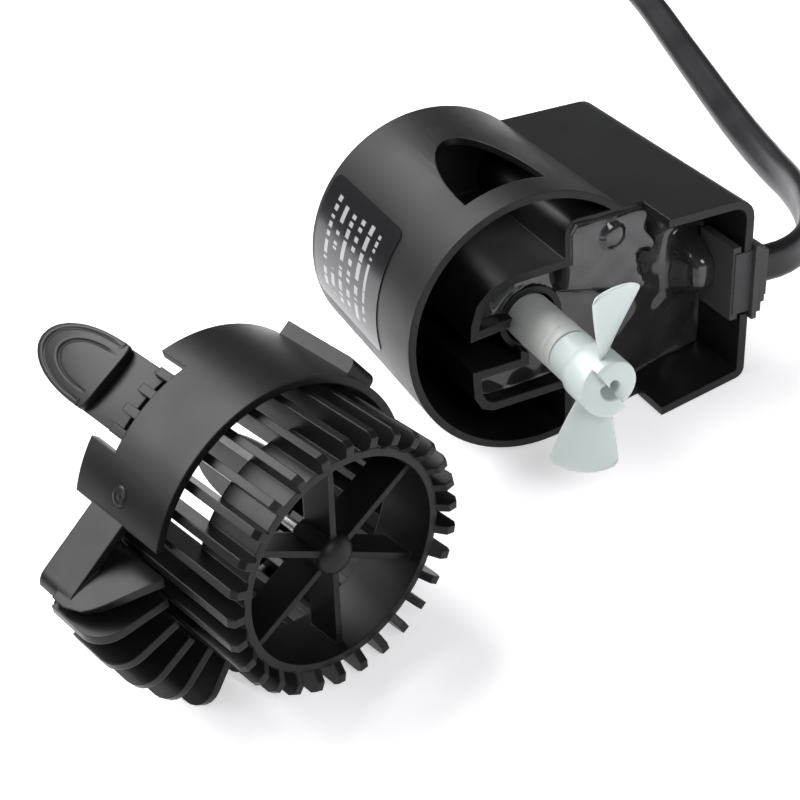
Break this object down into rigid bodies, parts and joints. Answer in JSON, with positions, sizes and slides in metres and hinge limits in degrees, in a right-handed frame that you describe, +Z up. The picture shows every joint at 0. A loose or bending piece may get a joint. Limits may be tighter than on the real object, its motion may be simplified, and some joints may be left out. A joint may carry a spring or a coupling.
{
  "type": "wave maker pump",
  "caption": "Aquarium wave maker pump taken apart: motor unit with exposed propeller and cord, and its clip-on slotted cover with a nozzle cage.",
  "frame": {"origin": "on the table, at the middle of the rectangle that the motor unit and the cover take up, without the cord", "axes": "+Z up; -Y the way the motor unit's propeller faces; +X towards the terminal box and the cord"},
  "size_m": [0.3157, 0.26, 0.0529],
  "materials": {
    "black_plastic": "satin, fine texture",
    "black_rubber": "matt",
    "core_iron": "laminated, matt",
    "natural_nylon": "matt",
    "enamelled_copper": "enamelled winding wire",
    "potting_resin": "cast, glossy",
    "brown_lead": "smooth",
    "blue_lead": "smooth",
    "label_film": "glossy",
    "white_ceramic": "polished",
    "cream_sleeve": "satin",
    "pale_blue_plastic": "slightly translucent, satin",
    "pin_steel": "polished",
    "plated_brass": "nickel plated",
    "cord_pvc": "satin"
  },
  "bodies": {
    "motor": {"motor_housing": "black_plastic", "potting_resin": "potting_resin", "stator_core": "core_iron", "coil_bobbin": "natural_nylon", "coil_winding": "enamelled_copper", "lead_wire_live": "brown_lead", "lead_wire_neutral": "blue_lead", "cord_gland": "black_rubber", "label_sticker": "label_film", "rear_bush": "black_rubber", "cord_tube": "cord_pvc", "cord_coil": "cord_pvc", "coil_tie": "black_rubber", "cord_tail": "cord_pvc", "plug_body": "cord_pvc", "plug_pin_live": "plated_brass", "plug_pin_neutral": "plated_brass"},
    "shaft": {"rotor_shaft": "white_ceramic", "thrust_washer": "natural_nylon"},
    "rotor": {"rotor_magnet": "cream_sleeve", "rotor_coupling": "pale_blue_plastic"},
    "propeller": {"propeller": "pale_blue_plastic"},
    "cover": {"cover_shell": "black_plastic", "guard_cage": "black_plastic", "front_pin": "pin_steel"},
    "latch_upper": {"latch_upper": "black_plastic"},
    "latch_lower": {"latch_lower": "black_plastic"}
  },
  "joints": [
    {"name": "rotor_pull", "type": "slide", "parent": "motor", "child": "shaft", "axis": [0, -1, 0], "range_m": [0, 0.05]},
    {"name": "rotor_spin", "type": "hinge", "parent": "shaft", "child": "rotor", "pos_m": [0.02556, 0.00292, 0.025], "axis": [0, -1, 0], "continuous": true},
    {"name": "propeller_play", "type": "hinge", "parent": "rotor", "child": "propeller", "pos_m": [0.02556, 0.00292, 0.025], "axis": [0, -1, 0], "range_deg": [-175, 0]},
    {"name": "cover_lift", "type": "slide", "parent": "motor", "child": "cover", "axis": [0, 0, 1], "range_m": [0, 0.08]},
    {"name": "latch_upper_flex", "type": "hinge", "parent": "cover", "child": "latch_upper", "pos_m": [-0.04368, -0.00822, 0.04852], "axis": [-0.9013, -0.24, -0.3606], "range_deg": [0, 6], "stiffness_Nm_per_rad": 0.3},
    {"name": "latch_lower_flex", "type": "hinge", "parent": "cover", "child": "latch_lower", "pos_m": [-0.02486, 0.00162, 0.00728], "axis": [0.8235, 0.1993, 0.5311], "range_deg": [0, 6], "stiffness_Nm_per_rad": 0.3}
  ]
}
